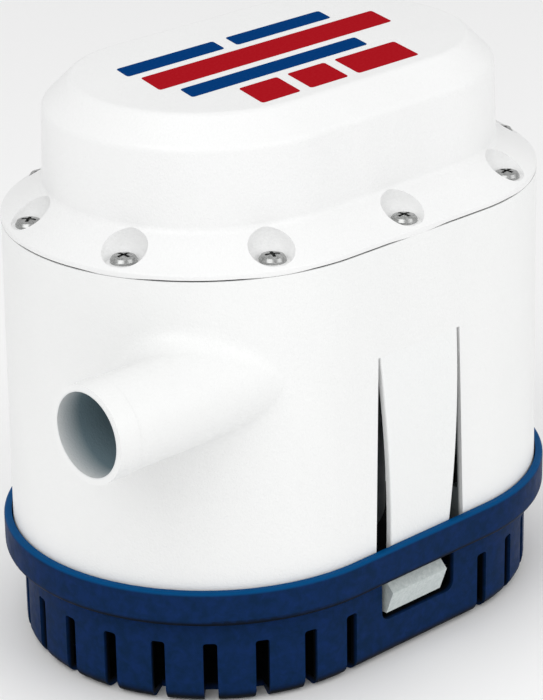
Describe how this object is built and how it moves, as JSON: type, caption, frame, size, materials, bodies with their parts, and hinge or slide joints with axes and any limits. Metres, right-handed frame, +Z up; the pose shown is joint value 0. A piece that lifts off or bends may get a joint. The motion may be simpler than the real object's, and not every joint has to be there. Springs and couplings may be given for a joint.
{
  "type": "bilge pump",
  "caption": "Automatic submersible bilge pump: stadium-shaped housing with a side hose spigot, screwed domed cover, latched strainer base, motor, impeller and float switch.",
  "frame": {"origin": "middle of the strainer base's underside, on the surface that the pump stands on", "axes": "+X along the stadium away from the discharge spigot's mouth, -Y towards the flank that the spigot runs beside, +Z up"},
  "size_m": [0.2022, 0.1274, 0.175],
  "materials": {
    "housing_white": "satin moulded",
    "cover_white": "satin moulded",
    "base_navy": "semi-gloss moulded",
    "gasket_rubber": "matte",
    "screw_steel": "pressed stainless",
    "motor_steel": "zinc plated",
    "shaft_steel": "ground",
    "end_cap_plastic": "moulded",
    "bush_bronze": "sintered",
    "magnet_ferrite": "pressed ferrite",
    "winding_copper": "enamelled",
    "brush_carbon": "pressed carbon",
    "impeller_plastic": "moulded",
    "float_plastic": "moulded",
    "module_epoxy": "potted",
    "gland_plastic": "moulded"
  },
  "bodies": {
    "root": {"strainer_base": "base_navy", "pump_housing": "housing_white", "top_cover": "cover_white", "cover_gasket": "gasket_rubber", "cover_screws": "screw_steel", "motor_can": "motor_steel", "motor_end_cap": "end_cap_plastic", "lower_bush": "bush_bronze", "upper_bush": "bush_bronze", "motor_magnets": "magnet_ferrite", "motor_brushes": "brush_carbon", "brush_springs": "bush_bronze", "shaft_seal": "gasket_rubber", "motor_retainer": "end_cap_plastic", "motor_retainer_screws": "screw_steel", "volute_plate": "impeller_plastic", "volute_screws": "screw_steel", "float_pivot_pin": "shaft_steel", "float_switch_body": "impeller_plastic", "float_switch_screws": "screw_steel", "switch_module": "module_epoxy", "switch_module_screws": "screw_steel", "cable_gland": "gland_plastic", "gland_nut": "gland_plastic"},
    "rotor": {"motor_shaft": "shaft_steel", "armature_core": "motor_steel", "armature_windings": "winding_copper", "commutator": "winding_copper", "impeller": "impeller_plastic", "impeller_nut": "bush_bronze"},
    "float_arm": {"float": "float_plastic", "float_magnet": "magnet_ferrite"},
    "latch_front": {"latch_tab_front": "housing_white"},
    "latch_rear": {"latch_tab_rear": "housing_white"}
  },
  "joints": [
    {"name": "rotor_spin", "type": "hinge", "parent": "root", "child": "rotor", "pos_m": [-0.0275, 0, 0.05], "axis": [0, 0, 1], "continuous": true},
    {"name": "float_swing", "type": "hinge", "parent": "root", "child": "float_arm", "pos_m": [0.036, 0, 0.078], "axis": [0, -1, 0], "range_deg": [0, 35]},
    {"name": "latch_front_press", "type": "hinge", "parent": "root", "child": "latch_front", "pos_m": [0, -0.0583, 0.0998], "axis": [1, 0, 0], "range_deg": [0, 4.2], "stiffness_Nm_per_rad": 5},
    {"name": "latch_rear_press", "type": "hinge", "parent": "root", "child": "latch_rear", "pos_m": [0, 0.0583, 0.0998], "axis": [-1, 0, 0], "range_deg": [0, 4.2], "stiffness_Nm_per_rad": 5}
  ]
}
